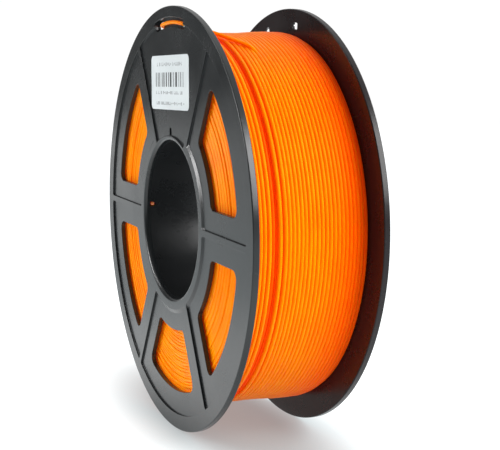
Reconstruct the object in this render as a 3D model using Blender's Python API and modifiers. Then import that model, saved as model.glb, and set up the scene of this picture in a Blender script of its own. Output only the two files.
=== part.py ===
"""Filament spool: two ribbed flanges on a double-walled hub, wound full of 1.75 mm filament.

Metres, +Z up.  The spool's axis lies along Y, its middle at the origin; the labelled front
flange faces -Y.  The spool stands on its two rims.
"""
import bpy
import bmesh
import math

MM = 0.001

# ---- overall
FLANGE_R = 100.0 * MM          # rim radius
WIDTH = 62.5 * MM              # outer face to outer face
FLANGE_T = 3.0 * MM            # rim thickness
EDGE_R = 0.5 * MM              # rounding of the rim's edges
GAP = 0.3 * MM                 # play between pieces that touch

# ---- flange relief
RECESS = 0.85 * MM             # depth of the pockets between the ribs
RIB_HALF = 1.45 * MM           # half width of a rib
RIM_IN = 92.7 * MM             # inner radius of the raised rim band
HUB_RING_R = 44.6 * MM         # outer radius of the raised ring round the bore
RING_BEVEL = 1.9 * MM          # width of that ring's sloping edge
TOP_RING_R = 39.9 * MM         # the same ring in the label sector, cut back to a lip
RIB_TURN = math.radians(-1.4)  # the rib star's turn about the axis
WINDOW_SIDE = 11.0 * MM        # window side to rib centre line
WINDOW_IN = 52.6 * MM
WINDOW_OUT = 81.7 * MM
WINDOW_FILLET = 3.2 * MM
WINDOW_TIP = 3.9 * MM          # rounder corners towards the rim
LABEL_SECTOR = 1               # the sector left closed, counted from 3 o'clock

# ---- filament slot in the front flange: a blind groove with a hole at each end
SLOT_R = 92.55 * MM
SLOT_HALF = 2.35 * MM
SLOT_FROM = math.radians(77.4)
SLOT_TO = math.radians(102.0)
SLOT_DEPTH = 2.4 * MM
SLOT_HOLES = ((77.9, 81.8), (97.3, 101.3))   # degrees
SLOT_HOLE_HALF = 1.65 * MM

# ---- small opening above the bore, under the label
NICK_AT = 0.35 * MM
NICK_HALF = 1.4 * MM
NICK_TOP = 43.7 * MM
NICK_DEPTH = 3.2 * MM

# ---- filament holes and their groove in the rear flange
GROOVE_FROM = math.radians(75.0)
GROOVE_TO = math.radians(107.5)
GROOVE_DEPTH = 1.65 * MM
HOLE_W = 5.4 * MM
HOLE_H = 3.3 * MM
HOLE_AT = (82.3, 102.4)        # degrees

# ---- hub
BORE_R = 37.6 * MM             # bore through the flanges
BORE_LIP = 1.7 * MM            # rounding of its outer edge
SLEEVE_R = 37.5 * MM           # bore through the hub's inner wall
SLEEVE_OUT = 39.7 * MM
DRUM_IN = 45.5 * MM
DRUM_R = 48.0 * MM
COLLAR_IN = 40.1 * MM          # locating collar on each flange's inner face
COLLAR_OUT = 42.5 * MM
COLLAR_H = 3.0 * MM
WEB_HALF = 0.8 * MM
WEBS = 6
NOTCH_HALF = 1.18 * MM         # notch the filament's inner end passes through
NOTCH_AT = math.radians(174.1)
NOTCH_DEEP = 4.45 * MM         # from the front face to the notch's centre

# ---- filament
STRAND_R = 0.875 * MM
WIND_IN = 48.3 * MM
LABEL_W = 52.2 * MM
LABEL_H = 25.4 * MM
LABEL_AT = (-0.35 * MM, 64.7 * MM)
LABEL_T = 0.11 * MM

SEGMENTS = 72
HALF = WIDTH / 2.0


def clear_scene():
    for ob in list(bpy.data.objects):
        bpy.data.objects.remove(ob, do_unlink=True)


def collection(name):
    col = bpy.data.collections.new(name)
    bpy.context.scene.collection.children.link(col)
    return col


def material(name, colour, roughness, metallic=0.0):
    mat = bpy.data.materials.new(name)
    mat.use_nodes = True
    bsdf = mat.node_tree.nodes["Principled BSDF"]
    bsdf.inputs["Base Color"].default_value = (*colour, 1.0)
    bsdf.inputs["Roughness"].default_value = roughness
    bsdf.inputs["Metallic"].default_value = metallic
    mat.diffuse_color = (*colour, 1.0)
    return mat


def add_object(name, mesh, col, mat=None):
    ob = bpy.data.objects.new(name, mesh)
    col.objects.link(ob)
    if mat is not None:
        mesh.materials.append(mat)
    return ob


def lathe(name, profile, col, mat, segments=SEGMENTS):
    """A closed profile of (radius, y) turned about the Y axis."""
    mesh = bpy.data.meshes.new(name)
    pairs = zip(profile, profile[1:] + profile[:1])
    if sum(a[0] * b[1] - b[0] * a[1] for a, b in pairs) > 0.0:
        profile = profile[::-1]
    verts = [(r, y, 0.0) for r, y in profile]
    count = len(verts)
    mesh.from_pydata(verts, [(i, (i + 1) % count) for i in range(count)], [])
    ob = add_object(name, mesh, col, mat)
    mod = ob.modifiers.new("turn", "SCREW")
    mod.axis = 'Y'
    mod.steps = segments
    mod.render_steps = segments
    mod.use_merge_vertices = True
    mod.merge_threshold = 0.00001
    mod.use_smooth_shade = True
    return ob


def arc(cx, cy, radius, start, end, steps):
    out = []
    for k in range(steps + 1):
        a = start + (end - start) * k / steps
        out.append((cx + radius * math.cos(a), cy + radius * math.sin(a)))
    return out


def turned(points, angle):
    c = math.cos(angle)
    s = math.sin(angle)
    return [(x * c - y * s, x * s + y * c) for x, y in points]


def sector(side, r_in, r_out, fillet, sector_index, grow=0.0, grow_in=None, tip=None,
           arcs=(5, 10)):
    """Outline between two neighbouring ribs: sides parallel to them, ends concentric.

    grow widens it all round, grow_in towards the axis; tip is the outer corners' fillet.
    """
    d = side - grow
    f = fillet + grow
    g = (fillet if tip is None else tip) + grow
    ri = r_in - (grow if grow_in is None else grow_in)
    ro = r_out + grow
    ix = math.sqrt((ri + f) ** 2 - (d + f) ** 2)
    ox = math.sqrt((ro - g) ** 2 - (d + g) ** 2)
    lower = arc(ix, d + f, f, math.atan2(-d - f, -ix), -math.pi / 2, 3)
    lower += arc(ox, d + g, g, -math.pi / 2, math.atan2(d + g, ox), 3)
    third = math.pi / 3.0
    a0 = math.atan2(d + g, ox)
    b0 = math.atan2(d + f, ix)
    upper = [(x, -y) for x, y in reversed(lower)]
    upper = turned(upper, third)
    outer = arc(0.0, 0.0, ro, a0, third - a0, arcs[1])[1:-1]
    inner = arc(0.0, 0.0, ri, third - b0, b0, arcs[0])[1:-1]
    ring = lower + outer + upper + inner
    return turned(ring, RIB_TURN + sector_index * third)


def loft(bm, outlines):
    """Join (outline, y) sections that have the same number of points into one closed body."""
    rings = []
    for points, y in outlines:
        rings.append([bm.verts.new((px, y, pz)) for px, pz in points])
    for low, high in zip(rings[:-1], rings[1:]):
        count = len(low)
        for i in range(count):
            j = (i + 1) % count
            bm.faces.new((low[i], low[j], high[j], high[i]))
    bm.faces.new(list(reversed(rings[0])))
    bm.faces.new(rings[-1])


def body(name, bm, col, mat=None, smooth=False):
    bmesh.ops.recalc_face_normals(bm, faces=bm.faces[:])
    for face in bm.faces:
        face.smooth = smooth
    mesh = bpy.data.meshes.new(name)
    bm.to_mesh(mesh)
    bm.free()
    return add_object(name, mesh, col, mat)


def cutter(name, bm, col):
    ob = body(name, bm, col)
    ob.hide_render = True
    ob.display_type = 'WIRE'
    return ob


def cut(target, tool):
    mod = target.modifiers.new("cut_" + tool.name, "BOOLEAN")
    mod.operation = 'DIFFERENCE'
    mod.solver = 'EXACT'
    mod.object = tool


def polar_box(r_mid, half, start, end, corner_a, corner_b, steps=12):
    """A rounded strip bent round the axis: corner_a rounds its start, corner_b its end."""
    length = (end - start) * r_mid
    flat = arc(corner_a, -half + corner_a, corner_a, -math.pi, -math.pi / 2, 4)
    n = steps
    x0 = corner_a
    x1 = length - corner_b
    flat += [(x0 + (x1 - x0) * k / n, -half) for k in range(1, n)]
    flat += arc(x1, -half + corner_b, corner_b, -math.pi / 2, 0.0, 4)
    flat += arc(x1, half - corner_b, corner_b, 0.0, math.pi / 2, 4)
    flat += [(x1 + (x0 - x1) * k / n, half) for k in range(1, n)]
    flat += arc(corner_a, half - corner_a, corner_a, math.pi / 2, math.pi, 4)
    out = []
    for s, t in flat:
        a = start + s / r_mid
        out.append(((r_mid + t) * math.cos(a), (r_mid + t) * math.sin(a)))
    return out


def flange_profile(face, inward):
    """Rim, hub ring, locating collar and bore, from the outer face inwards."""
    e = EDGE_R
    r = FLANGE_R
    t = FLANGE_T
    steps = [
        (BORE_R, BORE_LIP), (BORE_R + 0.13 * BORE_LIP, 0.5 * BORE_LIP),
        (BORE_R + 0.5 * BORE_LIP, 0.13 * BORE_LIP), (BORE_R + BORE_LIP, 0.0),
        (r - e, 0.0), (r - 0.5 * e, 0.13 * e), (r - 0.13 * e, 0.5 * e), (r, e),
        (r, t - e), (r - 0.13 * e, t - 0.5 * e), (r - 0.5 * e, t - 0.13 * e), (r - e, t),
        (COLLAR_OUT, t), (COLLAR_OUT, t + COLLAR_H),
        (COLLAR_IN, t + COLLAR_H), (COLLAR_IN, t), (BORE_R, t),
    ]
    return [(radius, face + inward * depth) for radius, depth in steps]


def pocket_cutter(name, face, inward, col):
    bm = bmesh.new()
    for k in range(6):
        top = k == LABEL_SECTOR
        slope = 0.12 * MM if top else RING_BEVEL
        args = (RIB_HALF, TOP_RING_R if top else HUB_RING_R, RIM_IN, 1.1 * MM, k)
        loft(bm, [
            (sector(*args, grow=0.12 * MM, grow_in=slope), face - inward * 0.5 * MM),
            (sector(*args, grow=0.12 * MM, grow_in=slope), face),
            (sector(*args, grow_in=0.85 * slope), face + inward * 0.15 * MM),
            (sector(*args, grow_in=0.2 * slope), face + inward * (RECESS - 0.06 * MM)),
            (sector(*args), face + inward * RECESS),
        ])
    return cutter(name, bm, col)


def window_cutter(name, face, inward, col):
    bm = bmesh.new()
    for k in range(6):
        if k == LABEL_SECTOR:
            continue
        shape = sector(WINDOW_SIDE, WINDOW_IN, WINDOW_OUT, WINDOW_FILLET, k, tip=WINDOW_TIP)
        wide = sector(WINDOW_SIDE, WINDOW_IN, WINDOW_OUT, WINDOW_FILLET, k, tip=WINDOW_TIP,
                      grow=0.2 * MM)
        loft(bm, [
            (wide, face + inward * (RECESS - 0.6 * MM)),
            (wide, face + inward * RECESS),
            (shape, face + inward * (RECESS + 0.2 * MM)),
            (shape, face + inward * (FLANGE_T + 1.0 * MM)),
        ])
    return cutter(name, bm, col)


def radial_stadium(bm, angle, half, y_end, y_mid, r0, r1):
    """A U-section bar along a radius, open towards y_end, round at y_mid."""
    outline = [(-half, y_end)]
    for k in range(9):
        a = math.pi - math.pi * k / 8.0
        outline.append((half * math.cos(a), y_mid + half * math.sin(a)))
    outline.append((half, y_end))
    c = math.cos(angle)
    s = math.sin(angle)
    rings = []
    for r in (r0, r1):
        rings.append([bm.verts.new((r * c - u * s, y, r * s + u * c)) for u, y in outline])
    count = len(outline)
    for i in range(count):
        j = (i + 1) % count
        bm.faces.new((rings[0][i], rings[0][j], rings[1][j], rings[1][i]))
    bm.faces.new(list(reversed(rings[0])))
    bm.faces.new(rings[1])


def front_flange(parts, cutters, mat):
    face = -HALF
    ob = lathe("front_flange", flange_profile(face, 1.0), parts, mat)
    cut(ob, pocket_cutter("front_pockets", face, 1.0, cutters))
    cut(ob, window_cutter("front_windows", face, 1.0, cutters))
    bm = bmesh.new()
    strip = (SLOT_R, SLOT_HALF, SLOT_FROM, SLOT_TO, 0.7 * MM, 1.9 * MM)
    wide = (SLOT_R, SLOT_HALF + 0.2 * MM, SLOT_FROM, SLOT_TO, 0.8 * MM, 2.0 * MM)
    loft(bm, [
        (polar_box(*wide), face - 0.6 * MM),
        (polar_box(*wide), face + 0.05 * MM),
        (polar_box(*strip), face + 0.3 * MM),
        (polar_box(*strip), face + SLOT_DEPTH),
    ])
    cut(ob, cutter("front_slot", bm, cutters))
    bm = bmesh.new()
    for start, stop in SLOT_HOLES:
        hole = polar_box(SLOT_R, SLOT_HOLE_HALF, math.radians(start), math.radians(stop),
                         1.2 * MM, 1.2 * MM, steps=4)
        loft(bm, [(hole, face + SLOT_DEPTH - 0.7 * MM), (hole, face + FLANGE_T + 1.0 * MM)])
    cut(ob, cutter("front_slot_holes", bm, cutters))
    bm = bmesh.new()
    x0 = NICK_AT - NICK_HALF
    x1 = NICK_AT + NICK_HALF
    z0 = TOP_RING_R + 0.2 * MM
    z1 = NICK_TOP - NICK_HALF
    nick = [(x0, z0), (x1, z0)] + arc(NICK_AT, z1, NICK_HALF, 0.0, math.pi, 8)
    loft(bm, [(nick, face + RECESS - 0.5 * MM), (nick, face + NICK_DEPTH)])
    cut(ob, cutter("front_nick", bm, cutters))
    bm = bmesh.new()
    deep = face + NOTCH_DEEP
    start = face + FLANGE_T - 0.1 * MM
    outline = [(-1.7 * MM, start), (1.7 * MM, start), (1.7 * MM, deep + 3.0 * MM),
               (-1.7 * MM, deep + 3.0 * MM)]
    c = math.cos(NOTCH_AT)
    s = math.sin(NOTCH_AT)
    rings = []
    for r in (COLLAR_IN - 1.0 * MM, COLLAR_OUT + 1.0 * MM):
        rings.append([bm.verts.new((r * c - u * s, y, r * s + u * c)) for u, y in outline])
    for i in range(4):
        j = (i + 1) % 4
        bm.faces.new((rings[0][i], rings[0][j], rings[1][j], rings[1][i]))
    bm.faces.new(list(reversed(rings[0])))
    bm.faces.new(rings[1])
    cut(ob, cutter("front_collar_notch", bm, cutters))
    return ob


def hole_outline(angle):
    """Rounded oblong with a short side notch, set across a radius."""
    w = HOLE_W / 2.0
    h = HOLE_H / 2.0
    f = 0.7 * MM
    n = 0.4 * MM
    pts = arc(w - f, -h + f, f, -math.pi / 2, 0.0, 3)
    pts += arc(w - f, h - f, f, 0.0, math.pi / 2, 3)
    pts += arc(-w + f, h - f, f, math.pi / 2, math.pi, 3)
    pts += [(-w, n), (-w - 1.2 * MM, n), (-w - 1.2 * MM, -n), (-w, -n)]
    pts += arc(-w + f, -h + f, f, math.pi, 1.5 * math.pi, 3)
    return turned([(x, y + 92.2 * MM) for x, y in pts], angle - math.pi / 2)


def rear_flange(parts, cutters, mat):
    face = HALF
    ob = lathe("rear_flange", flange_profile(face, -1.0), parts, mat)
    cut(ob, pocket_cutter("rear_pockets", face, -1.0, cutters))
    cut(ob, window_cutter("rear_windows", face, -1.0, cutters))
    bm = bmesh.new()
    strip = (SLOT_R - 0.3 * MM, SLOT_HALF + 0.2 * MM, GROOVE_FROM, GROOVE_TO, 2.0 * MM, 2.0 * MM)
    loft(bm, [
        (polar_box(*strip, steps=14), face + 0.6 * MM),
        (polar_box(*strip, steps=14), face - GROOVE_DEPTH),
    ])
    cut(ob, cutter("rear_groove", bm, cutters))
    bm = bmesh.new()
    for degrees in HOLE_AT:
        outline = hole_outline(math.radians(degrees))
        loft(bm, [(outline, face - 0.9 * MM), (outline, face - FLANGE_T - 0.8 * MM)])
    cut(ob, cutter("rear_holes", bm, cutters))
    return ob


def hub_core(parts, cutters, mat):
    end = HALF - FLANGE_T - GAP
    floor = end - COLLAR_H
    c = 0.3 * MM
    top = [
        (SLEEVE_R, end - c), (SLEEVE_R + c, end), (SLEEVE_OUT, end), (SLEEVE_OUT, floor),
        (DRUM_IN, floor), (DRUM_IN, end), (DRUM_R, end),
    ]
    profile = top + [(r, -y) for r, y in reversed(top)]
    ob = lathe("hub_core", profile, parts, mat)
    bm = bmesh.new()
    for k in range(WEBS):
        inset = 0.2 * MM
        args = (WEB_HALF, SLEEVE_OUT + inset, DRUM_IN - inset, 0.8 * MM, k)
        outline = sector(*args, arcs=(6, 6))
        loft(bm, [(outline, -end - 1.0 * MM), (outline, end + 1.0 * MM)])
    tool = cutter("hub_cells", bm, cutters)
    tool.rotation_euler[1] = math.radians(-15.0)
    cut(ob, tool)
    bm = bmesh.new()
    radial_stadium(bm, NOTCH_AT, NOTCH_HALF, -end - 1.5 * MM, -HALF + NOTCH_DEEP,
                   SLEEVE_R - 2.0 * MM, DRUM_R + 2.0 * MM)
    cut(ob, cutter("hub_notch", bm, cutters))
    return ob


def winding(parts, mat):
    """The wound filament as one turned body, dipping where the outer layer leaves a gap."""
    end = HALF - FLANGE_T - GAP
    depths = [
        (88.5, 0.0), (88.9, 4.9), (88.3, 8.8), (88.2, 13.6), (86.8, 14.3), (86.8, 16.7),
        (88.1, 17.4), (88.0, 33.8), (88.9, 47.8), (88.9, 53.3), (88.3, 56.3), (87.2, 100.0),
    ]
    profile = [(WIND_IN, -end)]
    for r, depth in depths:
        profile.append((r * MM, min(end, max(-end, depth * MM - HALF))))
    profile += [(WIND_IN, end)]
    return lathe("filament_winding", profile, parts, mat)


def swept(name, points, radius, parts, mat, sides=8):
    """A round strand along points: a beveled curve with flat ends, made a closed mesh."""
    curve = bpy.data.curves.new(name + "_path", 'CURVE')
    curve.dimensions = '3D'
    spline = curve.splines.new('POLY')
    spline.points.add(len(points) - 1)
    for target, p in zip(spline.points, points):
        target.co = (*p, 1.0)
    curve.bevel_depth = radius
    curve.bevel_resolution = max(0, sides // 2 - 2)
    curve.use_fill_caps = True
    path = bpy.data.objects.new(name + "_path", curve)
    parts.objects.link(path)
    bpy.context.view_layer.update()
    mesh = bpy.data.meshes.new_from_object(path.evaluated_get(
        bpy.context.evaluated_depsgraph_get()))
    bpy.data.objects.remove(path, do_unlink=True)
    bm = bmesh.new()
    bm.from_mesh(mesh)
    bmesh.ops.remove_doubles(bm, verts=bm.verts[:], dist=0.00001)
    return body(name, bm, parts, mat, smooth=True)


def between(keys, t):
    """Straight runs between (t, value) keys, their corners eased over one degree."""
    def straight(a):
        if a <= keys[0][0]:
            return keys[0][1]
        for (t0, v0), (t1, v1) in zip(keys[:-1], keys[1:]):
            if a <= t1:
                return v0 + (v1 - v0) * (a - t0) / (t1 - t0)
        return keys[-1][1]
    span = min(1.0, t - keys[0][0], keys[-1][0] - t)
    return sum(straight(t + span * k / 4.0) for k in range(-4, 5)) / 9.0


def filament_tail(parts, mat):
    """The free end: slantwise over the outer layer, out through one of the slot's holes,
    along the slot and back in through the other."""
    radius = [(65.8, 89.1), (67.5, 89.15), (71.0, 89.3), (73.6, 89.7), (75.3, 90.2), (77.0, 91.1),
              (78.5, 91.9), (80.0, 92.35), (82.0, 92.5), (98.0, 92.5), (102.2, 92.3)]
    depth = [(65.8, 25.0), (66.3, 24.3), (68.2, 21.8), (71.0, 18.9), (73.6, 15.8), (76.0, 11.5),
             (78.0, 6.6), (79.6, 3.1), (81.2, 1.45), (82.6, 1.35), (97.4, 1.35), (98.8, 2.0),
             (100.0, 4.2), (101.2, 7.2), (102.2, 9.8)]
    first = depth[0][0]
    last = depth[-1][0]
    points = []
    steps = 44
    for k in range(steps + 1):
        a = first + (last - first) * k / steps
        r = between(radius, a) * MM
        y = -HALF + between(depth, a) * MM
        t = math.radians(a)
        points.append((r * math.cos(t), y, r * math.sin(t)))
    return swept("filament_tail", points, STRAND_R, parts, mat)


def filament_inner_end(parts, mat):
    c = math.cos(NOTCH_AT)
    s = math.sin(NOTCH_AT)
    y = -HALF + NOTCH_DEEP
    r0 = SLEEVE_R + 0.1 * MM
    r1 = WIND_IN - 0.2 * MM
    points = [(r * c, y, r * s) for r in (r0, (r0 + r1) / 2.0, r1)]
    return swept("filament_inner_end", points, STRAND_R, parts, mat)


def label(parts, mat):
    cx, cz = LABEL_AT
    w = LABEL_W / 2.0
    h = LABEL_H / 2.0
    f = 2.5 * MM
    quarter = math.pi / 2
    pts = arc(cx + w - f, cz - h + f, f, -quarter, 0.0, 5)
    pts += arc(cx + w - f, cz + h - f, f, 0.0, quarter, 5)
    pts += arc(cx - w + f, cz + h - f, f, quarter, 2 * quarter, 5)
    pts += arc(cx - w + f, cz - h + f, f, 2 * quarter, 3 * quarter, 5)
    back = -HALF + RECESS - 0.02 * MM
    bm = bmesh.new()
    loft(bm, [(pts, back - LABEL_T), (pts, back)])
    return body("label", bm, parts, mat)


def main():
    clear_scene()
    parts = collection("filament_spool")
    cutters = collection("cutters")
    black = material("black_plastic_front", (0.022, 0.024, 0.025), 0.42)
    black_rear = material("black_plastic_rear", (0.022, 0.024, 0.025), 0.42)
    black_hub = material("black_plastic_hub", (0.012, 0.012, 0.013), 0.38)
    orange = material("orange_filament", (1.0, 0.22, 0.0), 0.34)
    orange_tail = material("orange_filament_tail", (1.0, 0.23, 0.0), 0.34)
    orange_end = material("orange_filament_inner_end", (1.0, 0.21, 0.0), 0.36)
    paper = material("label_paper", (0.80, 0.82, 0.84), 0.55)
    front_flange(parts, cutters, black)
    rear_flange(parts, cutters, black_rear)
    hub_core(parts, cutters, black_hub)
    winding(parts, orange)
    filament_tail(parts, orange_tail)
    filament_inner_end(parts, orange_end)
    label(parts, paper)


main()
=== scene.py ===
"""Looks of the filament spool: black ribbed reel, wound orange strand, sticker, studio."""
import bpy
import bmesh
import math
import random
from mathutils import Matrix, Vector


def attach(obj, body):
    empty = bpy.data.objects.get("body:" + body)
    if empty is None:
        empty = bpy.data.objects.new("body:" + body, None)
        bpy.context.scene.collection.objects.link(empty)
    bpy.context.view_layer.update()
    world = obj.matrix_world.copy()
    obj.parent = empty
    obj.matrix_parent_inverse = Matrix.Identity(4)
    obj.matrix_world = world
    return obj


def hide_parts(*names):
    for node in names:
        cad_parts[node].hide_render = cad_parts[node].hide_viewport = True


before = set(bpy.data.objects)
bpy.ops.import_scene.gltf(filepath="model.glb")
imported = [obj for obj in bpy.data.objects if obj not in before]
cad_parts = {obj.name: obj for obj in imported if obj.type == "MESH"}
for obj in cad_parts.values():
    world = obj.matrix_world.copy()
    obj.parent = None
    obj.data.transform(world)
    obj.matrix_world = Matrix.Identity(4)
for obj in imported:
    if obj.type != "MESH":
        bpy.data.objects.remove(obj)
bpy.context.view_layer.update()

# Lengths are in mm and become metres when vertices are made. The bore's axis is Y. A depth is
# measured inwards from a flange's outer face, and an angle from +X towards +Z. Cutters start a
# little outside the face they cut, and through cuts end a little past the far side.
MM = 0.001
THIRD = math.pi / 3.0
QUARTER = math.pi / 2
MERGE = 0.000002

# reel
HALF = 31.25                      # half of the width over both outer faces
FLANGE_R = 100.0
FLANGE_T = 3.0
FLANGE_SIDES = 192
EDGE_R = 0.5                      # rim rounding
RECESS = 0.85                     # depth of the fields between the ribs
RECESS_STEPS = (0.0, 0.015, 0.05, 0.09, 0.14, 0.25, 0.4, 0.58, 0.73, 0.77, 0.81, 0.84, RECESS)
RECESS_EDGE, RECESS_FLOOR, RECESS_CORNER = 0.14, 0.12, 1.2
RIB_HALF = 1.45
RIM_IN = 92.7                     # inside of the raised rim band
HUB_RING_R = 44.6
RING_BEVEL = 1.9                  # width of the hub ring's slope
TOP_RING_R = 39.9                 # narrow ring under the label sector
RIB_TURN = math.radians(-1.4)     # the ribs stand a little askew
LABEL_SECTOR = 1                  # no window here
WINDOW_SIDE = 11.0                # from a rib's middle to a window's side
WINDOW_IN = 52.6
WINDOW_OUT = 81.7
WINDOW_FILLET = 3.2               # inner corners
WINDOW_TIP = 3.9                  # outer corners
WINDOW_EDGE = 0.3
SLOT_R = 92.55
SLOT_HALF = 2.35
SLOT_ENDS = (math.radians(77.4), math.radians(102.0))
SLOT_CORNERS = (0.7, 1.9)
SLOT_EDGE = 0.25
SLOT_DEPTH = 2.4
SLOT_HOLES = ((77.9, 81.8), (97.3, 101.3))
SLOT_HOLE_HALF = 1.65
SLOT_HOLE_CORNER = 1.2
NICK_AT, NICK_HALF, NICK_TOP, NICK_DEPTH = 0.35, 1.4, 43.7, 3.2
GROOVE_ENDS = (math.radians(75.0), math.radians(107.5))
GROOVE_CORNER = 2.0
GROOVE_DEPTH = 1.65
HOLE_W, HOLE_H, HOLE_CORNER = 5.4, 3.3, 0.7
HOLE_NOSE, HOLE_NOSE_HALF = 1.2, 0.4
HOLE_R = 92.2
HOLE_AT = (82.3, 102.4)
FLANGE_SMOOTH = 28
BORE_R = 37.6                     # flanges, with the lip rounded
BORE_LIP = 1.7
SLEEVE_R = 37.55                  # hub sleeve, a hair inside the bore
DRUM_R = 48.0
DRUM_CHAMFER = 0.2
HUB_GAP = 0.02
HUB_SIDES = 160
NOTCH_HALF = 1.18
NOTCH_AT = math.radians(174.1)
NOTCH_DEEP = 4.45                 # depth of the notch's round end

# filament
STRAND_R = 0.875                  # 1.75 mm filament
STRAND_BEVEL = 0.16
OUTER_R = 0.925                   # outer turns, pressed a little flat
OUTER_POINTS = 150
OUTER_START = math.radians(-20)
STEP_AT, STEP_LENGTH = math.radians(188), math.radians(26)  # where a turn moves to the next
UNDER_TURNS, UNDER_POINTS = 29, 110
UNDER_FIRST, UNDER_PITCH, UNDER_RADIUS = 5.7, 1.87, 85.95
BARED_FROM, BARED_TO = 12.5, 18.5     # depths between which the outer layer has its gap
SIDE_POINTS = 150
SIDE_FIRST, SIDE_LAST, SIDE_PITCH = 49.25, 86.2, 1.52
WINDING_GAP = 0.3                 # flange to winding
PACK_IN, PACK_OUT, PACK_BACK, PACK_SIDES = 48.3, 85.2, 1.7, 128
TAIL_STEPS = 130
INNER_END = (37.9, 39.5, 42.0, 45.0, 48.1)  # radii, from bore to winding

# label; a row of marks is its height, the marks' size, and where it starts and stops
LABEL_X, LABEL_Z = (-26.45, 25.75), (52.0, 77.4)
LABEL_CORNER = 2.5
LABEL_SUNK, LABEL_THICK = 0.02, 0.11
BAR_X, BAR_Z = (-19.9, 18.6), (62.7, 69.4)
BAR_INK, MARK_INK = 0.012, 0.01
MARK_ROWS = ((72.4, 1.7, -19.5, 16.0), (59.2, 1.5, -19.5, 16.5), (54.2, 1.5, -19.0, 17.0))
MARK_LINE = 0.5

# studio; a light is its name, direction, size and power
SKY_TOP, SKY_BACK, SKY_BASE = 0.30, 0.60, 0.05
WHITE = (1.0, 1.0, 1.0, 1.0)
SEEN_WHITE = 1.02
BACK_SLANT = 0.42
FLOOR_RADIUS = 4.0
# FLOOR_NEAR is the floor's glow under the spool and FLOOR_FAR what it gains away from it: a
# painted shadow round the spool
FLOOR_COLOUR, FLOOR_NEAR, FLOOR_FAR = (0.22, 0.275, 0.29), 0.30, 0.85
LIGHT_DISTANCE = 0.9
KEY_LIGHTS = (("key_front", (-0.43, -0.86, 0.26), 0.30, 4.2),
              ("key_left", (-0.40, -0.58, 0.70), 0.30, 1.4),
              ("key_side", (0.72, 0.50, 0.47), 0.55, 9.5))
CAMERA_AZIMUTH, CAMERA_ELEVATION = math.radians(66.694), math.radians(7.037)
CAMERA_AIM, CAMERA_DISTANCE, CAMERA_LENS = (0.0, -HALF + 41.66, -4.483), 0.56535, 83.22


# ------------------------------------------------------------------ mesh helpers
def make_object(name, mesh):
    """A new object in the scene."""
    ob = bpy.data.objects.new(name, mesh)
    bpy.context.scene.collection.objects.link(ob)
    return ob


def finish_mesh(name, bm, smooth_angle=None):
    """Faces outwards, in metres, smooth up to smooth_angle degrees."""
    bmesh.ops.recalc_face_normals(bm, faces=bm.faces[:])
    limit = math.radians(smooth_angle) if smooth_angle else None
    for face in bm.faces:
        face.smooth = limit is not None
    if limit is not None:
        for edge in bm.edges:
            if len(edge.link_faces) == 2:
                edge.smooth = edge.calc_face_angle(0.0) < limit
    mesh = bpy.data.meshes.new(name)
    bm.to_mesh(mesh)
    bm.free()
    return mesh


def lathe_bm(profile, segments):
    """A closed (radius, y) profile in mm turned about the Y axis."""
    bm = bmesh.new()
    rings = []
    for k in range(segments):
        a = 2.0 * math.pi * k / segments
        c = math.cos(a) * MM
        s = math.sin(a) * MM
        rings.append([bm.verts.new((r * c, y * MM, r * s)) for r, y in profile])
    count = len(profile)
    for k in range(segments):
        one = rings[k]
        two = rings[(k + 1) % segments]
        for i in range(count):
            j = (i + 1) % count
            bm.faces.new((one[i], one[j], two[j], two[i]))
    return bm


def arc(cx, cy, radius, start, end, steps):
    """Points on a circle's arc, both ends included."""
    out = []
    for k in range(steps + 1):
        a = start + (end - start) * k / steps
        out.append((cx + radius * math.cos(a), cy + radius * math.sin(a)))
    return out


def corner(cx, cy, radius, quarter, steps):
    """A round corner: the quarter circle that starts at that many quarter turns."""
    return arc(cx, cy, radius, quarter * QUARTER, (quarter + 1) * QUARTER, steps)


def turned(points, angle):
    """Points turned about the origin."""
    c = math.cos(angle)
    s = math.sin(angle)
    return [(x * c - y * s, x * s + y * c) for x, y in points]


def sector(side, r_in, r_out, fillet, index, grow=0.0, grow_in=None, tip=None):
    """Outline between two ribs: sides parallel to them, ends concentric, corners round.

    grow widens it all round, grow_in says by how much its inner end moves instead, and tip
    is the fillet at the outer corners where it differs.
    """
    d = side - grow
    f = fillet + grow
    g = (fillet if tip is None else tip) + grow
    ri = r_in - (grow if grow_in is None else grow_in)
    ro = r_out + grow
    ix = math.sqrt((ri + f) ** 2 - (d + f) ** 2)
    ox = math.sqrt((ro - g) ** 2 - (d + g) ** 2)
    lower = arc(ix, d + f, f, math.atan2(-d - f, -ix), -QUARTER, 5)
    lower += arc(ox, d + g, g, -QUARTER, math.atan2(d + g, ox), 5)
    a0 = math.atan2(d + g, ox)
    b0 = math.atan2(d + f, ix)
    upper = turned([(x, -y) for x, y in reversed(lower)], THIRD)
    outer = arc(0.0, 0.0, ro, a0, THIRD - a0, 22)[1:-1]
    inner = arc(0.0, 0.0, ri, THIRD - b0, b0, 12)[1:-1]
    return turned(lower + outer + upper + inner, RIB_TURN + index * THIRD)


def polar_box(r_mid, half, ends, corner_a, corner_b, steps=30):
    """A rounded strip bent round the axis, between two angles."""
    start, end = ends
    x0 = corner_a
    x1 = (end - start) * r_mid - corner_b
    flat = corner(x0, -half + corner_a, corner_a, -2, 6)
    flat += [(x0 + (x1 - x0) * k / steps, -half) for k in range(1, steps)]
    flat += corner(x1, -half + corner_b, corner_b, -1, 6)
    flat += corner(x1, half - corner_b, corner_b, 0, 6)
    flat += [(x1 + (x0 - x1) * k / steps, half) for k in range(1, steps)]
    flat += corner(x0, half - corner_a, corner_a, 1, 6)
    out = []
    for s, t in flat:
        a = start + s / r_mid
        out.append(((r_mid + t) * math.cos(a), (r_mid + t) * math.sin(a)))
    return out


def skin(bm, rings):
    """A closed body through rings of vertices."""
    for low, high in zip(rings[:-1], rings[1:]):
        count = len(low)
        for i in range(count):
            j = (i + 1) % count
            bm.faces.new((low[i], low[j], high[j], high[i]))
    bm.faces.new(list(reversed(rings[0])))
    bm.faces.new(rings[-1])


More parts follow.
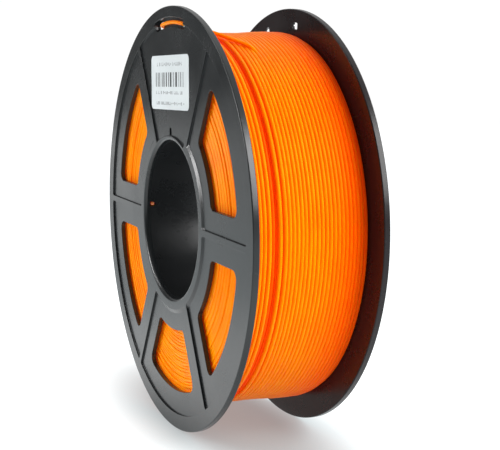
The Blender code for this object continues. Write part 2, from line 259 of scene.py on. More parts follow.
def loft(bm, sections):
    """A closed body through (outline, y) sections; an outline is a list of (x, z)."""
    skin(bm, [[bm.verts.new((px * MM, y * MM, pz * MM)) for px, pz in points]
              for points, y in sections])


def carve(name, bm, tools, smooth_angle):
    """Cuts each tool's body out of bm's and returns the finished object."""
    base = make_object(name, finish_mesh(name, bm))
    cutters = []
    for k, tool in enumerate(tools):
        cutters.append(make_object("tool_%s_%d" % (name, k), finish_mesh("tool", tool)))
        mod = base.modifiers.new("cut", "BOOLEAN")
        mod.operation = 'DIFFERENCE'
        mod.solver = 'EXACT'
        mod.object = cutters[-1]
    bpy.context.view_layer.update()
    graph = bpy.context.evaluated_depsgraph_get()
    mesh = bpy.data.meshes.new_from_object(base.evaluated_get(graph))
    for ob in cutters + [base]:
        bpy.data.objects.remove(ob, do_unlink=True)
    out = bmesh.new()
    out.from_mesh(mesh)
    bmesh.ops.remove_doubles(out, verts=out.verts[:], dist=MERGE)
    bmesh.ops.dissolve_degenerate(out, dist=MERGE, edges=out.edges[:])
    ob = make_object(name, finish_mesh(name, out, smooth_angle))
    mod = ob.modifiers.new("normals", "WEIGHTED_NORMAL")
    mod.keep_sharp = True
    mod.weight = 80
    return ob


# ------------------------------------------------------------------ flanges
def rounded(radius, steps):
    """(inset, depth) pairs round a convex edge, from the face to the wall."""
    out = []
    for k in range(steps + 1):
        a = QUARTER * k / steps
        out.append((radius * (1.0 - math.sin(a)), radius * (1.0 - math.cos(a))))
    return out


def flange_profile(face, inward):
    """The disc's cross-section: rounded bore lip, rounded rim, flat inner face."""
    steps = [(BORE_R + i, d) for i, d in reversed(rounded(BORE_LIP, 8))]
    steps += [(FLANGE_R - i, d) for i, d in rounded(EDGE_R, 7)]
    steps += [(FLANGE_R - i, FLANGE_T - d) for i, d in reversed(rounded(EDGE_R, 7))]
    steps += [(BORE_R, FLANGE_T)]
    return [(radius, face + inward * depth) for radius, depth in steps]


def inset_at(depth, radius):
    """How far an edge rounding of that radius stands back at a depth."""
    if depth >= radius:
        return 0.0
    return radius - math.sqrt(radius * radius - (radius - depth) ** 2)


def pocket_tool(face, inward):
    """The six shallow fields between the ribs; a sloping ring stands round the bore."""
    bm = bmesh.new()
    for k in range(6):
        top = k == LABEL_SECTOR
        ring_r = TOP_RING_R if top else HUB_RING_R
        sections = []
        for d in RECESS_STEPS:
            grow = inset_at(d, RECESS_EDGE)
            # the ring's slope, which ends just above the floor
            cone = RING_BEVEL * (1.0 - 0.8 * d / (RECESS - 0.08))
            grow_in = grow if top else max(cone + 0.5 * grow, 0.2 * (RECESS - d))
            back = inset_at(RECESS - d, RECESS_FLOOR)
            args = (RIB_HALF, ring_r, RIM_IN, RECESS_CORNER, k)
            outline = sector(*args, grow=grow - back, grow_in=grow_in - back)
            if d == 0.0:
                sections.append((outline, face - inward * 0.5))
            sections.append((outline, face + inward * d))
        loft(bm, sections)
    return bm


def window_tool(face, inward):
    """The five windows; the sector that carries the label stays closed."""
    bm = bmesh.new()
    for k in range(6):
        if k == LABEL_SECTOR:
            continue
        args = (WINDOW_SIDE, WINDOW_IN, WINDOW_OUT, WINDOW_FILLET, k)
        outline = sector(*args, grow=WINDOW_EDGE, tip=WINDOW_TIP)
        sections = [(outline, face + inward * (RECESS - 0.5))]
        for i, d in rounded(WINDOW_EDGE, 3):
            outline = sector(*args, grow=i, tip=WINDOW_TIP)
            sections.append((outline, face + inward * (RECESS + d)))
        sections.append((sector(*args, tip=WINDOW_TIP), face + inward * (FLANGE_T + 1.0)))
        loft(bm, sections)
    return bm


def slot_tool(face):
    """The groove by the rim that the free end of the filament lies in."""
    bm = bmesh.new()
    start, stop = SLOT_CORNERS
    outline = polar_box(SLOT_R, SLOT_HALF + SLOT_EDGE, SLOT_ENDS, start + SLOT_EDGE,
                        stop + SLOT_EDGE)
    sections = [(outline, face - 0.6)]
    for i, d in rounded(SLOT_EDGE, 3):
        outline = polar_box(SLOT_R, SLOT_HALF + i, SLOT_ENDS, start + i, stop + i)
        sections.append((outline, face + d))
    sections.append((polar_box(SLOT_R, SLOT_HALF, SLOT_ENDS, start, stop), face + SLOT_DEPTH))
    loft(bm, sections)
    return bm


def slot_hole_tool(face):
    """The through holes at the groove's two ends."""
    bm = bmesh.new()
    for ends in SLOT_HOLES:
        hole = polar_box(SLOT_R, SLOT_HOLE_HALF, [math.radians(end) for end in ends],
                         SLOT_HOLE_CORNER, SLOT_HOLE_CORNER, steps=5)
        loft(bm, [(hole, face + SLOT_DEPTH - 0.7), (hole, face + FLANGE_T + 1.0)])
    return bm


def nick_tool(face):
    """The narrow opening above the bore."""
    bm = bmesh.new()
    z0 = TOP_RING_R + 0.2
    nick = [(NICK_AT - NICK_HALF, z0), (NICK_AT + NICK_HALF, z0)]
    nick += arc(NICK_AT, NICK_TOP - NICK_HALF, NICK_HALF, 0.0, math.pi, 14)
    loft(bm, [(nick, face + RECESS - 0.5), (nick, face + NICK_DEPTH)])
    return bm


def groove_tool(face):
    """The rear flange's groove, which joins its two filament holes on the outside."""
    bm = bmesh.new()
    strip = polar_box(SLOT_R - 0.3, SLOT_HALF + 0.2, GROOVE_ENDS, GROOVE_CORNER, GROOVE_CORNER)
    loft(bm, [(strip, face + 0.6), (strip, face - GROOVE_DEPTH)])
    return bm


def hole_tool(face):
    """The rear flange's two filament holes, each with a narrow nose at one end."""
    bm = bmesh.new()
    w, h, f = HOLE_W / 2, HOLE_H / 2, HOLE_CORNER
    nose, n = -w - HOLE_NOSE, HOLE_NOSE_HALF
    pts = corner(w - f, -h + f, f, -1, 5)
    pts += corner(w - f, h - f, f, 0, 5)
    pts += corner(-w + f, h - f, f, 1, 5)
    pts += [(-w, n), (nose, n), (nose, -n), (-w, -n)]
    pts += corner(-w + f, -h + f, f, 2, 5)
    for degrees in HOLE_AT:
        outline = turned([(x, y + HOLE_R) for x, y in pts], math.radians(degrees) - QUARTER)
        loft(bm, [(outline, face - 0.9), (outline, face - FLANGE_T - 0.8)])
    return bm


def build_flanges():
    """Front and rear: the same moulding, except for slot, opening, groove and holes."""
    front = carve("front_flange_shell", lathe_bm(flange_profile(-HALF, 1.0), FLANGE_SIDES), [
        pocket_tool(-HALF, 1.0), window_tool(-HALF, 1.0), slot_tool(-HALF),
        slot_hole_tool(-HALF), nick_tool(-HALF),
    ], FLANGE_SMOOTH)
    rear = carve("rear_flange_shell", lathe_bm(flange_profile(HALF, -1.0), FLANGE_SIDES), [
        pocket_tool(HALF, -1.0), window_tool(HALF, -1.0), groove_tool(HALF), hole_tool(HALF),
    ], FLANGE_SMOOTH)
    return front, rear


def build_hub():
    """Sleeve and drum walls; the hidden cells between them are left solid."""
    end = HALF - FLANGE_T - HUB_GAP
    top = [(SLEEVE_R, end), (DRUM_R - DRUM_CHAMFER, end), (DRUM_R, end - DRUM_CHAMFER)]
    low = [(r, -y) for r, y in reversed(top)]
    bm = lathe_bm(top + [(DRUM_R, 0.0)] + low, HUB_SIDES)
    outline = [(-NOTCH_HALF, -end - 1.5)]
    for u, v in arc(0.0, 0.0, NOTCH_HALF, math.pi, 0.0, 12):
        outline.append((u, -HALF + NOTCH_DEEP + v))
    outline.append((NOTCH_HALF, -end - 1.5))
    co, si = math.cos(NOTCH_AT), math.sin(NOTCH_AT)
    tool = bmesh.new()
    rings = []
    for r in (SLEEVE_R - 2.0, DRUM_R + 2.0):
        rings.append([tool.verts.new(((r * co - u * si) * MM, y * MM, (r * si + u * co) * MM))
                      for u, y in outline])
    skin(tool, rings)
    return carve("hub_shell", bm, [tool], 30)


def build_flanges():
    front = carve("front_flange_shell", lathe_bm(flange_profile(-HALF, 1.0), 192), [
        pocket_tool(-HALF, 1.0), window_tool(-HALF, 1.0), slot_tool(-HALF),
        slot_hole_tool(-HALF), nick_tool(-HALF),
    ], 28)
    rear = carve("rear_flange_shell", lathe_bm(flange_profile(HALF, -1.0), 192), [
        pocket_tool(HALF, -1.0), window_tool(HALF, -1.0), groove_tool(HALF), hole_tool(HALF),
    ], 28)
    return front, rear


def build_hub():
    """Sleeve and drum walls; the hidden cells between them are left solid."""
    end = HALF - FLANGE_T - 0.02
    top = [(SLEEVE_R, end), (DRUM_R - 0.2, end), (DRUM_R, end - 0.2)]
    middle = [(DRUM_R, 0.0)]
    low = [(r, -y) for r, y in reversed(top)]
    bm = lathe_bm(top + middle + low, 160)
    tool = bmesh.new()
    outline = [(-NOTCH_HALF, -end - 1.5)]
    for k in range(13):
        a = math.pi - math.pi * k / 12.0
        outline.append((NOTCH_HALF * math.cos(a), -HALF + NOTCH_DEEP + NOTCH_HALF * math.sin(a)))
    outline.append((NOTCH_HALF, -end - 1.5))
    co, si = math.cos(NOTCH_AT), math.sin(NOTCH_AT)
    rings = []
    for r in (SLEEVE_R - 2.0, DRUM_R + 2.0):
        rings.append([tool.verts.new(((r * co - u * si) * MM, y * MM, (r * si + u * co) * MM))
                      for u, y in outline])
    for i in range(len(outline)):
        j = (i + 1) % len(outline)
        tool.faces.new((rings[0][i], rings[0][j], rings[1][j], rings[1][i]))
    tool.faces.new(list(reversed(rings[0])))
    tool.faces.new(rings[1])
    return carve("hub_shell", bm, [tool], 30)


# ------------------------------------------------------------------ filament
def tube_faces(count, sides, closed):
    """Faces of a tube of count rings of vertices, joined end to end or capped."""
    faces = []
    for i in range(count if closed else count - 1):
        a = i * sides
        b = ((i + 1) % count) * sides
        for k in range(sides):
            j = (k + 1) % sides
            faces.append((a + k, a + j, b + j, b + k))
    if not closed:
        faces.append(tuple(range(sides))[::-1])
        faces.append(tuple(range((count - 1) * sides, count * sides)))
    return faces


def ring_tube(points, radius, sides, closed):
    """A tube mesh along (r, angle, y) points that run round the Y axis."""
    verts = []
    for r, a, y in points:
        c, s = math.cos(a), math.sin(a)
        for k in range(sides):
            p = 2.0 * math.pi * k / sides
            rr = r + radius * math.cos(p)
            verts.append((rr * c * MM, (y + radius * math.sin(p)) * MM, rr * s * MM))
    return verts, tube_faces(len(points), sides, closed)


def path_tube(points, radius, sides):
    """A tube mesh with flat, slightly chamfered ends along free points in mm."""
    pts = [Vector(p) for p in points]
    first = (pts[0] - pts[1]).normalized() * STRAND_BEVEL
    last = (pts[-1] - pts[-2]).normalized() * STRAND_BEVEL
    radii = [radius] * (len(pts) + 2)
    radii[0] = radii[-1] = radius - STRAND_BEVEL
    pts = [pts[0], pts[0] - first] + pts[1:-1] + [pts[-1] - last, pts[-1]]
    verts = []
    side = None
    for i, p in enumerate(pts):
        t = (pts[min(i + 1, len(pts) - 1)] - pts[max(i - 1, 0)]).normalized()
        if side is None:
            side = t.orthogonal().normalized()
        side = (side - t * side.dot(t)).normalized()
        other = t.cross(side)
        for k in range(sides):
            q = 2.0 * math.pi * k / sides
            verts.append((p + (side * math.cos(q) + other * math.sin(q)) * radii[i]) * MM)
    return verts, tube_faces(len(pts), sides, False)


def tube_object(name, parts, smooth_angle=40):
    """One object of several tubes, each a pair of vertices and faces."""
    verts = []
    faces = []
    for v, f in parts:
        base = len(verts)
        verts += v
        faces += [tuple(base + i for i in face) for face in f]
    mesh = bpy.data.meshes.new(name)
    mesh.from_pydata(verts, [], faces)
    bm = bmesh.new()
    bm.from_mesh(mesh)
    return make_object(name, finish_mesh(name, bm, smooth_angle))


def ease(u):
    """A soft step from 0 to 1."""
    u = min(1.0, max(0.0, u))
    return u * u * (3.0 - 2.0 * u)


def wobble(rng, terms, size):
    """A smooth periodic function of the angle."""
    waves = [(k + 1, rng.uniform(0, 2 * math.pi), rng.uniform(0.4, 1.0) / (k + 1) ** 0.5)
             for k in range(terms)]
    total = sum(w for _, _, w in waves)

    def value(a):
        return size * sum(w * math.sin(k * a + p) for k, p, w in waves) / total
    return value


def swell(depth):
    """How full the winding is: 0 by the front flange, 1 by the rear one."""
    return ease((depth - 30.0) / 17.0)


# depth of each outer turn's middle, and its centre radius
OUTER_TURNS = [(4.75, 87.9), (6.7, 87.75), (8.7, 87.55), (10.75, 87.4), (12.9, 87.35),
               (17.75, 87.3)]
OUTER_TURNS += [(20.35 + 1.865 * k, 87.15 + 0.85 * swell(20.35 + 1.865 * k)) for k in range(19)]
OUTER_TURNS += [(55.85, 87.6), (57.55, 86.3)]


def outer_layer():
    """One continuous strand: a turn keeps its place, then steps to the next out of sight."""
    rng = random.Random(11)
    points = []
    for k, (h, r) in enumerate(OUTER_TURNS):
        nh, nr = OUTER_TURNS[min(k + 1, len(OUTER_TURNS) - 1)]
        sway = wobble(rng, 4, 0.07)
        lift = wobble(rng, 5, 0.06)
        for i in range(OUTER_POINTS):
            a = 2.0 * math.pi * i / OUTER_POINTS
            u = ease((a - STEP_AT) / STEP_LENGTH)
            points.append((r + (nr - r) * u + lift(a), OUTER_START - a,
                           -HALF + h + (nh - h) * u + sway(a)))
    return ring_tube(points, OUTER_R, 12, False)


def under_layer():
    """The layer below: the turns bared by the outer layer's gap, and all the others."""
    rng = random.Random(5)
    bared = []
    others = []
    for k in range(UNDER_TURNS):
        h = UNDER_FIRST + UNDER_PITCH * k
        radius = UNDER_RADIUS + 0.6 * swell(h)
        sway = wobble(rng, 3, 0.06)
        points = []
        for i in range(UNDER_POINTS):
            a = 2.0 * math.pi * i / UNDER_POINTS
            points.append((radius, a, -HALF + h + sway(a)))
        group = bared if BARED_FROM < h < BARED_TO else others
        group.append(ring_tube(points, STRAND_R, 10, True))
    return bared, others


def side_layers(face, inward, seed):
    """End turns of the layers, seen through the windows: each sits a little differently."""
    rng = random.Random(seed)
    parts = []
    inner = FLANGE_T + WINDING_GAP + STRAND_R + 0.04
    radius = SIDE_FIRST
    index = 0
    while radius < SIDE_LAST:
        sway = wobble(rng, 3, 0.16)
        lift = wobble(rng, 3, 0.26)
        back = 0.12 + (0.32 if index % 2 else 0.0) + rng.uniform(0.0, 0.25)
        points = []
        for i in range(SIDE_POINTS):
            a = 2.0 * math.pi * i / SIDE_POINTS
            depth = inner + max(0.0, back + lift(a))
            points.append((radius + sway(a), a, face + inward * depth))
        parts.append(ring_tube(points, STRAND_R, 8, True))
        radius += SIDE_PITCH
        index += 1
    return parts


def winding_body():
    """The hidden bulk of the winding, behind the turns that are seen."""
    end = HALF - FLANGE_T - WINDING_GAP - PACK_BACK
    bm = lathe_bm([(PACK_IN, -end), (PACK_OUT, -end), (PACK_OUT, end), (PACK_IN, end)], PACK_SIDES)
    return make_object("filament_pack", finish_mesh("filament_pack", bm, 30))


def between(keys, t):
    """The keys' value at t, with the bends between their straight runs rounded."""
    def straight(a):
        if a <= keys[0][0]:
            return keys[0][1]
        for (t0, v0), (t1, v1) in zip(keys[:-1], keys[1:]):
            if a <= t1:
                return v0 + (v1 - v0) * (a - t0) / (t1 - t0)
        return keys[-1][1]
    span = min(1.0, t - keys[0][0], keys[-1][0] - t)
    return sum(straight(t + span * k / 4.0) for k in range(-4, 5)) / 9.0


def tail_path():
    """The free end: slantwise over the outer layer, out by a slot hole, along and back in."""
    radius = [(45.0, 87.35), (62.5, 87.35), (64.6, 88.3), (65.8, 89.0), (67.5, 89.15),
              (71.0, 89.3), (73.6, 89.7), (75.3, 90.2), (77.0, 91.1), (78.5, 91.9), (80.0, 92.35),
              (82.0, 92.5), (98.0, 92.5), (102.2, 92.3)]
    depth = [(45.0, 27.8), (61.5, 27.8), (64.4, 26.8), (66.3, 24.3),
             (68.2, 21.8), (71.0, 18.9), (73.6, 15.8), (76.0, 11.5), (78.0, 6.6), (79.6, 3.1),
             (81.2, 1.45), (82.6, 1.35), (97.4, 1.35), (98.8, 2.0), (100.0, 4.2), (101.2, 7.2),
             (102.2, 9.8)]
    first, last = depth[0][0], depth[-1][0]
    points = []
    for k in range(TAIL_STEPS + 1):
        a = first + (last - first) * k / TAIL_STEPS
        r = between(radius, a)
        t = math.radians(a)
        points.append((r * math.cos(t), -HALF + between(depth, a), r * math.sin(t)))
    return points


def build_filament():
    """The winding's turns, the free end in the slot and the end anchored in the hub."""
    # the strand's last colour is the painted shade it takes on beside the rear flange
    strand = orange_strand("filament_orange", (0.98, 0.26, 0.0), (0.95, 0.22, 0.0), 0.40,
                           (1.0, 0.095, 0.0))
    # a yellower, lighter copy of the same filament for the end turns seen through the windows:
    # painted light
    side = orange_strand("filament_orange_side_painted_light", (1.0, 0.31, 0.0), (0.98, 0.255, 0.0), 0.40)
    # a darker red copy of the same filament: painted shade for the turns bared in the outer
    # layer's gap and for the hidden bulk seen between turns
    deep = orange_strand("filament_orange_painted_shade", (1.0, 0.10, 0.0), (0.97, 0.08, 0.0), 0.45)
    # the anchored end is a real strand end, painted paler than the strand: a painted highlight for
    # the glint seen on it deep in the bore
    cut = orange_strand("filament_end_painted_glint", (1.0, 0.40, 0.22), (0.85, 0.22, 0.10), 0.45)
    add_piece(winding_body(), deep, "filament_winding")
    bared, others = under_layer()
    for name, parts, mat in (
            ("filament_outer_turns", [outer_layer()], strand),
            # the bared turns wear the painted shade
            ("filament_bared_turns", bared, deep),
            ("filament_under_turns", others, strand),
            ("filament_front_side", side_layers(-HALF, 1.0, 21), side),
            ("filament_rear_side", side_layers(HALF, -1.0, 34), side)):
        add_piece(tube_object(name, parts), mat)
    tail = tube_object("filament_free_end", [path_tube(tail_path(), STRAND_R, 14)])
    add_piece(tail, strand, "filament_tail")
    c, s = math.cos(NOTCH_AT), math.sin(NOTCH_AT)
    run = [(r * c, -HALF + NOTCH_DEEP, r * s) for r in INNER_END]
    inner = tube_object("filament_anchored_end", [path_tube(run, STRAND_R, 14)])
    add_piece(inner, cut, "filament_inner_end")


# ------------------------------------------------------------------ label
def plate(bm, x0, x1, z0, z1, back, front, fillet=0.0):
    """A flat plate, with round corners if it has a fillet."""
    if fillet:
        pts = corner(x1 - fillet, z0 + fillet, fillet, -1, 8)
        pts += corner(x1 - fillet, z1 - fillet, fillet, 0, 8)
        pts += corner(x0 + fillet, z1 - fillet, fillet, 1, 8)
        pts += corner(x0 + fillet, z0 + fillet, fillet, 2, 8)
    else:
        pts = [(x0, z0), (x1, z0), (x1, z1), (x0, z1)]
    loft(bm, [(pts, front), (pts, back)])


def build_label():
    """The sticker: paper, bars of two inks, and three rows of marks that spell nothing."""
    back = -HALF + RECESS - LABEL_SUNK
    front = back - LABEL_THICK
    paper, black, grey, marks = (bmesh.new() for _ in range(4))
    plate(paper, *LABEL_X, *LABEL_Z, back, front, LABEL_CORNER)
    rng = random.Random(8)
    x = BAR_X[0]
    while x < BAR_X[1]:
        w = rng.choice((1.0, 1.5, 2.3))
        plate(black if rng.random() < 0.6 else grey, x, x + w, *BAR_Z, front, front - BAR_INK)
        x += w + rng.choice((1.3, 1.9, 2.6))
    for z, height, x, stop in MARK_ROWS:
        while x < stop:
            w = rng.uniform(0.9, 1.6)
            if rng.random() < 0.16:
                x += 1.6
            shape = rng.choice(("box", "post", "bar", "post"))
            if shape == "box":
                boxes = [(x, x + w, z, z + height)]
            elif shape == "post":
                boxes = [(x, x + MARK_LINE, z, z + height),
                         (x + MARK_LINE + 0.01, x + w, z, z + MARK_LINE)]
            else:
                boxes = [(x, x + w, z + height * 0.35, z + height * 0.7)]
            for box in boxes:
                plate(marks, *box, front, front - MARK_INK)
            x += w + 0.5
    sheet = make_object("label_sheet", finish_mesh("label_sheet", paper, 30))
    add_piece(sheet, coated_paper("label_paper_white"), "label")
    for name, bm, ink, colour in (
            ("label_bars", black, "print_black", (0.03, 0.032, 0.035)),
            ("label_bars_grey", grey, "print_grey", (0.22, 0.23, 0.24)),
            ("label_marks", marks, "print_pale_grey", (0.26, 0.27, 0.28))):
        add_piece(make_object(name, finish_mesh(name, bm)), print_ink(ink, colour))


# ------------------------------------------------------------------ materials
def node_material(name):
    """A new material, with its node tree, shader and object coordinates."""
    mat = bpy.data.materials.new(name)
    mat.use_nodes = True
    tree = mat.node_tree
    coord = tree.nodes.new("ShaderNodeTexCoord").outputs["Object"]
    return mat, tree, tree.nodes["Principled BSDF"], coord


def add(tree, kind, **values):
    """A node whose inputs or settings have the given values."""
    node = tree.nodes.new(kind)
    for key, value in values.items():
        if key in node.inputs:
            node.inputs[key].default_value = value
        else:
            setattr(node, key, value)
    return node


def noise(tree, coord, scale, detail, roughness, distortion=0.0):
    """A noise's value at the coordinates."""
    node = add(tree, "ShaderNodeTexNoise", Scale=scale, Detail=detail, Roughness=roughness,
               Distortion=distortion)
    tree.links.new(coord, node.inputs["Vector"])
    return node.outputs["Fac"]


def ramp(tree, source, stops):
    """A colour for a value, from (position, colour) stops."""
    node = tree.nodes.new("ShaderNodeValToRGB")
    while len(node.color_ramp.elements) < len(stops):
        node.color_ramp.elements.new(0.5)
    for element, (pos, colour) in zip(node.color_ramp.elements, stops):
        element.position = pos
        element.color = (*colour, 1.0)
    tree.links.new(source, node.inputs["Fac"])
    return node.outputs["Color"]


def remap(tree, value, low, high, to_low, to_high, kind='LINEAR'):
    """A value's range low to high taken to to_low to to_high, and held beyond it."""
    node = add(tree, "ShaderNodeMapRange", interpolation_type=kind)
    for key, number in (("From Min", low), ("From Max", high), ("To Min", to_low),
                        ("To Max", to_high)):
        node.inputs[key].default_value = number
    tree.links.new(value, node.inputs["Value"])
    return node.outputs["Result"]


def glow(tree, value, low, high, amount):
    """amount times a soft step of a value between low and high."""
    return remap(tree, value, low, high, 0.0, amount, 'SMOOTHSTEP')


def combine(tree, operation, one, two):
    """A sum, product or the like of two sockets, or of a socket and a number."""
    node = add(tree, "ShaderNodeMath", operation=operation)
    for socket, value in zip(node.inputs, (one, two)):
        if isinstance(value, float):
            socket.default_value = value
        else:
            tree.links.new(value, socket)
    return node.outputs["Value"]


def roughen(tree, bsdf, height, strength, distance):
    """A bump from a height."""
    bump = add(tree, "ShaderNodeBump", Strength=strength, Distance=distance)
    tree.links.new(height, bump.inputs["Height"])
    tree.links.new(bump.outputs["Normal"], bsdf.inputs["Normal"])


def length(tree, x, y):
    """The distance of (x, y) from the origin."""
    square = combine(tree, 'ADD', combine(tree, 'MULTIPLY', x, x), combine(tree, 'MULTIPLY', y, y))
    return combine(tree, 'POWER', square, 0.5)


def black_plastic(name, base, rough, shine=0.5):
    """Moulded ABS: fine grain, slow changes of gloss, a few faint rub marks."""
    mat, tree, bsdf, coord = node_material(name)
    slow = noise(tree, coord, 38.0, 3.0, 0.55)
    fine = noise(tree, coord, 2600.0, 2.0, 0.6)
    flow = noise(tree, coord, 9.0, 2.0, 0.5)
    rub = noise(tree, coord, 160.0, 6.0, 0.72, 1.5)
    dark = tuple(v * 0.78 for v in base)
    light = tuple(v * 1.25 for v in base)
    tree.links.new(ramp(tree, flow, [(0.15, dark), (0.85, light)]), bsdf.inputs["Base Color"])
    gloss = combine(tree, 'ADD', remap(tree, slow, 0.1, 0.9, rough - 0.08, rough + 0.10),
                    remap(tree, rub, 0.45, 0.80, 0.0, 0.05))
    tree.links.new(gloss, bsdf.inputs["Roughness"])
    roughen(tree, bsdf, fine, 0.03, 0.0002)
    bsdf.inputs["IOR"].default_value = 1.5
    bsdf.inputs["Specular IOR Level"].default_value = shine
    return mat


def orange_strand(name, base, deep, rough, far=None):
    """Extruded filament: drawn along its length, a little uneven in tone and gloss.

    far is a deeper red the turns take on beside the rear flange: painted shade from the rear
    flange.
    """
    mat, tree, bsdf, coord = node_material(name)
    link = tree.links.new
    stretch = add(tree, "ShaderNodeMapping", Scale=(60.0, 520.0, 60.0))
    link(coord, stretch.inputs["Vector"])
    tone = noise(tree, stretch.outputs["Vector"], 1.0, 2.0, 0.5)
    colour = ramp(tree, tone, [(0.32, deep), (0.62, base)])
    # painted shade: the colour deepens towards far close to the rear flange, where that flange
    # shades the winding
    if far:
        spot = add(tree, "ShaderNodeSeparateXYZ")
        link(coord, spot.inputs["Vector"])
        painted_rear_shade = add(tree, "ShaderNodeMix", data_type='RGBA')
        link(glow(tree, spot.outputs["Y"], 0.002, 0.030, 1.0), painted_rear_shade.inputs["Factor"])
        link(colour, painted_rear_shade.inputs["A"])
        painted_rear_shade.inputs["B"].default_value = (*far, 1.0)
        colour = painted_rear_shade.outputs["Result"]
    link(colour, bsdf.inputs["Base Color"])
    fine = noise(tree, coord, 900.0, 2.0, 0.6)
    link(remap(tree, fine, 0.3, 0.7, rough - 0.05, rough + 0.07), bsdf.inputs["Roughness"])
    roughen(tree, bsdf, fine, 0.05, 0.0001)
    # light scattered inside the slightly translucent plastic, plus a weak painted red glow that
    # stands in for more of that scattered light
    bsdf.inputs["IOR"].default_value = 1.46
    bsdf.inputs["Specular IOR Level"].default_value = 0.15
    bsdf.inputs["Specular Tint"].default_value = (1.0, 0.42, 0.08, 1.0)
    bsdf.inputs["Subsurface Weight"].default_value = 0.55
    bsdf.inputs["Subsurface Radius"].default_value = (1.0, 0.25, 0.02)
    bsdf.inputs["Subsurface Scale"].default_value = 0.0028
    bsdf.inputs["Emission Color"].default_value = (1.0, 0.06, 0.0, 1.0)
    bsdf.inputs["Emission Strength"].default_value = 0.11
    return mat


def coated_paper(name):
    """Sticker paper: faint clouds of tone and fine fibres."""
    mat, tree, bsdf, coord = node_material(name)
    cloud = noise(tree, coord, 70.0, 2.0, 0.5)
    tree.links.new(ramp(tree, cloud, [(0.3, (0.64, 0.68, 0.69)), (0.7, (0.72, 0.76, 0.77))]),
                   bsdf.inputs["Base Color"])
    roughen(tree, bsdf, noise(tree, coord, 1500.0, 4.0, 0.65), 0.12, 0.0001)
    bsdf.inputs["Roughness"].default_value = 0.5
    return mat


def print_ink(name, colour):
    """Thermal print: a little patchy."""
    mat, tree, bsdf, coord = node_material(name)
    pale = tuple(min(1.0, v * 1.7 + 0.03) for v in colour)
    patch = noise(tree, coord, 1200.0, 3.0, 0.6)
    tree.links.new(ramp(tree, patch, [(0.4, colour), (0.75, pale)]), bsdf.inputs["Base Color"])
    bsdf.inputs["Roughness"].default_value = 0.55
    return mat


def paint(ob, mat):
    ob.data.materials.clear()
    ob.data.materials.append(mat)


# ------------------------------------------------------------------ studio
def area_light(name, direction, size, power):
    """A square light panel that faces the origin."""
    data = bpy.data.lights.new(name, 'AREA')
    data.shape = 'RECTANGLE'
    data.size = data.size_y = size
    data.energy = power
    ob = bpy.data.objects.new(name, data)
    bpy.context.scene.collection.objects.link(ob)
    aim = Vector(direction).normalized()
    ob.location = aim * LIGHT_DISTANCE
    ob.rotation_mode = 'QUATERNION'
    ob.rotation_quaternion = aim.to_track_quat('Z', 'Y')


def studio_world():
    """Dim room, soft overhead panel, pale backdrop behind the spool; plain white when seen."""
    world = bpy.data.worlds.new("studio")
    bpy.context.scene.world = world
    world.use_nodes = True
    tree = world.node_tree
    link = tree.links.new
    back = tree.nodes["Background"]
    split = tree.nodes.new("ShaderNodeSeparateXYZ")
    link(tree.nodes.new("ShaderNodeTexCoord").outputs["Generated"], split.inputs["Vector"])
    x, y, z = (split.outputs[name] for name in "XYZ")
    overhead = glow(tree, z, 0.35, 0.95, SKY_TOP)
    turn = combine(tree, 'SUBTRACT', y, combine(tree, 'MULTIPLY', x, BACK_SLANT))
    backdrop = glow(tree, turn, 0.05, 0.45, SKY_BACK)
    total = combine(tree, 'ADD', combine(tree, 'ADD', overhead, backdrop), SKY_BASE)
    link(total, back.inputs["Strength"])
    back.inputs["Color"].default_value = WHITE
    white = add(tree, "ShaderNodeBackground", Color=WHITE, Strength=SEEN_WHITE)
    path = tree.nodes.new("ShaderNodeLightPath")
    mix = tree.nodes.new("ShaderNodeMixShader")
    link(path.outputs["Is Camera Ray"], mix.inputs["Fac"])
    link(back.outputs["Background"], mix.inputs[1])
    link(white.outputs["Background"], mix.inputs[2])
    link(mix.outputs["Shader"], tree.nodes["World Output"].inputs["Surface"])


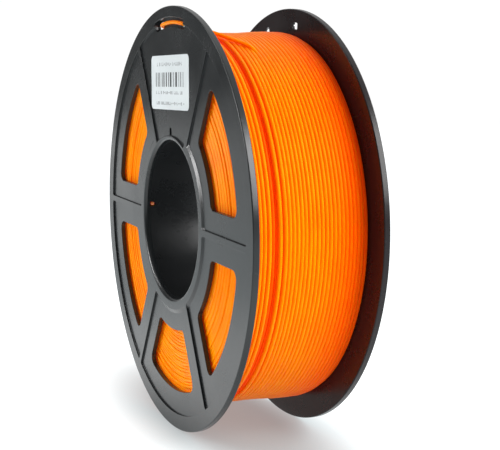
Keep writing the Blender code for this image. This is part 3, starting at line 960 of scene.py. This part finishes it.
def studio_floor():
    """A pale floor whose own glow is low round the spool and rises into the white backdrop a
    hand's width away: a painted shadow round the spool, on top of the cast ones.
    """
    bm = bmesh.new()
    bmesh.ops.create_circle(bm, cap_ends=True, segments=96, radius=FLOOR_RADIUS)
    for v in bm.verts:
        v.co.z = -FLANGE_R * MM
    floor = make_object("floor", finish_mesh("floor", bm))
    mat, tree, bsdf, coord = node_material("floor_white")
    bsdf.inputs["Base Color"].default_value = (*FLOOR_COLOUR, 1.0)
    bsdf.inputs["Roughness"].default_value = 0.85
    bsdf.inputs["Specular IOR Level"].default_value = 0.0
    split = tree.nodes.new("ShaderNodeSeparateXYZ")
    tree.links.new(coord, split.inputs["Vector"])
    x, y = split.outputs["X"], split.outputs["Y"]
    # painted shadow: the floor's glow is dimmed in an ellipse round the spool, set a little
    # towards the front flange
    reach = length(tree, combine(tree, 'MULTIPLY', x, 0.35), combine(tree, 'ADD', y, 0.002))
    far = glow(tree, reach, 0.018, 0.066, FLOOR_FAR)
    # painted light: the floor glows brighter towards the backdrop side and close in
    turn = combine(tree, 'SUBTRACT', y, combine(tree, 'MULTIPLY', x, BACK_SLANT))
    painted_floor_light = combine(tree, 'ADD', glow(tree, turn, -0.02, 0.22, 0.75),
                  glow(tree, length(tree, x, y), 0.40, 0.18, 0.75))
    painted_floor_light = combine(tree, 'MINIMUM', combine(tree, 'ADD', painted_floor_light, 0.25), 1.0)
    glow_with_painted_shadow = combine(tree, 'MULTIPLY', far, painted_floor_light)
    bsdf.inputs["Emission Color"].default_value = WHITE
    tree.links.new(combine(tree, 'ADD', glow_with_painted_shadow, FLOOR_NEAR), bsdf.inputs["Emission Strength"])
    paint(floor, mat)


def studio():
    """World, floor and three soft panels."""
    bpy.context.scene.view_settings.view_transform = 'Standard'
    studio_world()
    studio_floor()
    for light in KEY_LIGHTS:
        area_light(*light)


def camera():
    """Slightly above the axis, seeing the front flange at a slant and the winding full on."""
    back = Vector((math.sin(CAMERA_AZIMUTH) * math.cos(CAMERA_ELEVATION),
                   -math.cos(CAMERA_AZIMUTH) * math.cos(CAMERA_ELEVATION),
                   math.sin(CAMERA_ELEVATION)))
    data = bpy.data.cameras.new("camera")
    data.lens = CAMERA_LENS
    data.sensor_width = 36.0
    data.clip_start = 0.01
    data.clip_end = 20.0
    ob = bpy.data.objects.new("camera", data)
    bpy.context.scene.collection.objects.link(ob)
    ob.location = Vector(CAMERA_AIM) * MM + back * CAMERA_DISTANCE
    ob.rotation_mode = 'QUATERNION'
    ob.rotation_quaternion = back.to_track_quat('Z', 'Y')
    bpy.context.scene.camera = ob


# ------------------------------------------------------------------ build
def place(ob, node=None):
    """Rides a piece on the spool's body, in place of a node if one is named."""
    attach(ob, "root")
    if node:
        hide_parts(node)


def add_piece(ob, mat, node=None):
    place(ob, node)
    paint(ob, mat)


def main():
    camera()
    studio()
    shell_black = black_plastic("moulded_black", (0.017, 0.019, 0.020), 0.22, 0.42)
    # the same black plastic made darker, faintly red and less shiny: painted shade and a painted
    # red reflection of the winding on the rear flange
    rear_black_shaded = black_plastic("moulded_black_rear_shaded", (0.013, 0.010, 0.011), 0.26, 0.26)
    bore_black = black_plastic("moulded_black_bore", (0.013, 0.014, 0.015), 0.28)
    front, rear = build_flanges()
    add_piece(front, shell_black, "front_flange")
    add_piece(rear, rear_black_shaded, "rear_flange")
    add_piece(build_hub(), bore_black, "hub_core")
    build_filament()
    build_label()


main()
